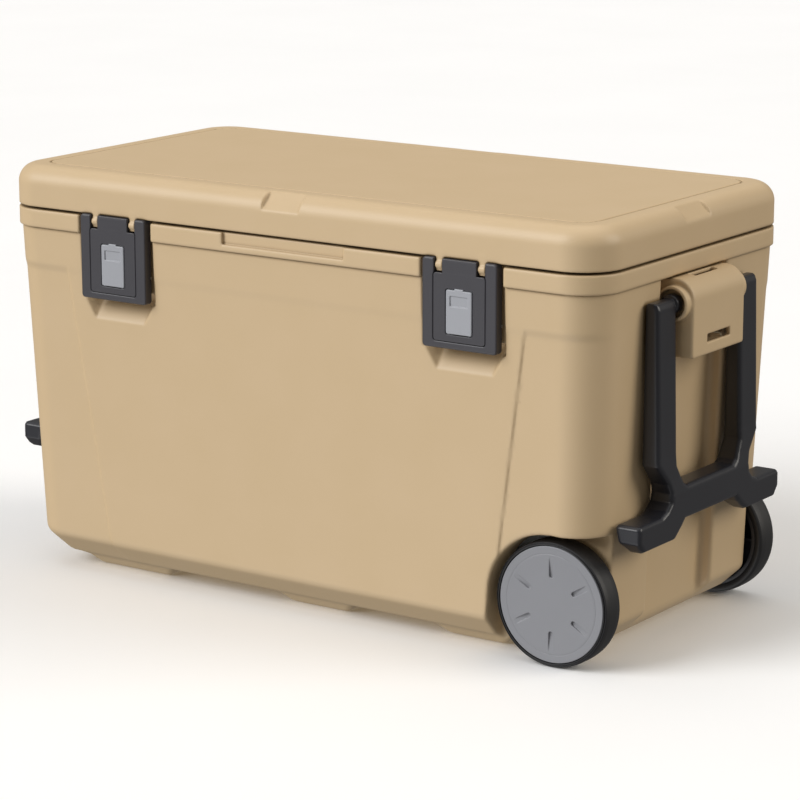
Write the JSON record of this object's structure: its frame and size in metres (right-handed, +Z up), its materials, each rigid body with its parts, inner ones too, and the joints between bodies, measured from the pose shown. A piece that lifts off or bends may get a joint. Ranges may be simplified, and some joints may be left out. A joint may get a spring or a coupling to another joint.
{
  "type": "cooler chest",
  "caption": "Wheeled insulated cooler chest with a hinged lid, buckle latches with lock buttons, swinging bail handles and a drain plug.",
  "frame": {"origin": "on the floor, at the middle of the chest's bounding box", "axes": "+X along the length, towards the wheels; -Y towards the latches (front); +Z up"},
  "size_m": [0.768, 0.3771, 0.429],
  "materials": {
    "shell_plastic": "fine-grained moulded tan plastic",
    "liner_plastic": "smooth white plastic",
    "foam": "rigid insulating foam, hidden",
    "black_plastic": "satin black plastic",
    "charcoal_plastic": "satin charcoal plastic",
    "gray_plastic": "satin light grey plastic",
    "cap_gray": "satin mid grey plastic",
    "tyre_rubber": "dull rubber",
    "seal_rubber": "dull rubber",
    "steel": "brushed"
  },
  "bodies": {
    "chest": {"body_shell": "shell_plastic", "rim_frame": "shell_plastic", "inner_liner": "liner_plastic", "foam_core": "foam", "handle_mount_right": "shell_plastic", "handle_mount_left": "shell_plastic", "mount_screws": "steel", "handle_pins_right": "steel", "handle_pins_left": "steel", "axles": "steel", "axle_washers": "steel", "axle_clips": "steel", "hinge_plates": "charcoal_plastic", "hinge_pins": "steel", "hinge_screws": "steel", "latch_strikes": "steel", "strike_screws": "steel", "drain_seal": "seal_rubber", "drain_bushing": "black_plastic"},
    "lid": {"lid_shell": "shell_plastic", "lid_foam": "foam", "lid_liner": "liner_plastic", "lid_gasket": "seal_rubber"},
    "handle_right": {"handle_right": "black_plastic"},
    "handle_left": {"handle_left": "black_plastic"},
    "wheel_front": {"wheel_core_front": "black_plastic", "tyre_front": "tyre_rubber", "wheel_cap_front": "cap_gray"},
    "wheel_rear": {"wheel_core_rear": "black_plastic", "tyre_rear": "tyre_rubber", "wheel_cap_rear": "cap_gray"},
    "drain_plug": {"drain_plug": "black_plastic"},
    "latch_left": {"latch_frame_left": "charcoal_plastic", "latch_plate_left": "charcoal_plastic", "latch_pin_left": "steel", "claw_pin_left": "steel", "button_spring_left": "steel"},
    "lock_button_left": {"lock_button_left": "gray_plastic"},
    "latch_claw_left": {"latch_claw_left": "steel"},
    "latch_right": {"latch_frame_right": "charcoal_plastic", "latch_plate_right": "charcoal_plastic", "latch_pin_right": "steel", "claw_pin_right": "steel", "button_spring_right": "steel"},
    "lock_button_right": {"lock_button_right": "gray_plastic"},
    "latch_claw_right": {"latch_claw_right": "steel"}
  },
  "joints": [
    {"name": "lid_hinge", "type": "hinge", "parent": "chest", "child": "lid", "pos_m": [0, 0.1833, 0.3805], "axis": [-1, 0, 0], "range_deg": [0, 100]},
    {"name": "latch_left_hinge", "type": "hinge", "parent": "lid", "child": "latch_left", "pos_m": [-0.21, -0.1833, 0.3805], "axis": [-1, 0, 0], "range_deg": [0, 110]},
    {"name": "lock_button_left_press", "type": "slide", "parent": "latch_left", "child": "lock_button_left", "axis": [0, 1, 0], "range_m": [0, 0.0025], "stiffness_N_per_m": 800, "deforming": ["button_spring_left"]},
    {"name": "latch_claw_left_turn", "type": "hinge", "parent": "latch_left", "child": "latch_claw_left", "pos_m": [-0.21, -0.1793, 0.328], "axis": [-1, 0, 0], "range_deg": [0, 14.4]},
    {"name": "latch_right_hinge", "type": "hinge", "parent": "lid", "child": "latch_right", "pos_m": [0.21, -0.1833, 0.3805], "axis": [-1, 0, 0], "range_deg": [0, 110]},
    {"name": "lock_button_right_press", "type": "slide", "parent": "latch_right", "child": "lock_button_right", "axis": [0, 1, 0], "range_m": [0, 0.0025], "stiffness_N_per_m": 800, "deforming": ["button_spring_right"]},
    {"name": "latch_claw_right_turn", "type": "hinge", "parent": "latch_right", "child": "latch_claw_right", "pos_m": [0.21, -0.1793, 0.328], "axis": [-1, 0, 0], "range_deg": [0, 14.4]},
    {"name": "handle_right_swing", "type": "hinge", "parent": "chest", "child": "handle_right", "pos_m": [0.3645, 0, 0.342], "axis": [0, -1, 0], "range_deg": [0, 150]},
    {"name": "handle_left_swing", "type": "hinge", "parent": "chest", "child": "handle_left", "pos_m": [-0.3645, 0, 0.342], "axis": [0, 1, 0], "range_deg": [0, 150]},
    {"name": "wheel_front_spin", "type": "hinge", "parent": "chest", "child": "wheel_front", "pos_m": [0.301, -0.15, 0.062], "axis": [0, 1, 0], "continuous": true},
    {"name": "wheel_rear_spin", "type": "hinge", "parent": "chest", "child": "wheel_rear", "pos_m": [0.301, 0.15, 0.062], "axis": [0, 1, 0], "continuous": true},
    {"name": "drain_plug_turn", "type": "hinge", "parent": "chest", "child": "drain_plug", "pos_m": [-0.33, 0, 0.078], "axis": [-1, 0, 0], "range_deg": [0, 90]}
  ],
  "couplings": [
    {"joint": "latch_claw_left_turn", "follows": "lock_button_left_press", "rad_per_m": 100},
    {"joint": "latch_claw_right_turn", "follows": "lock_button_right_press", "rad_per_m": 100}
  ]
}
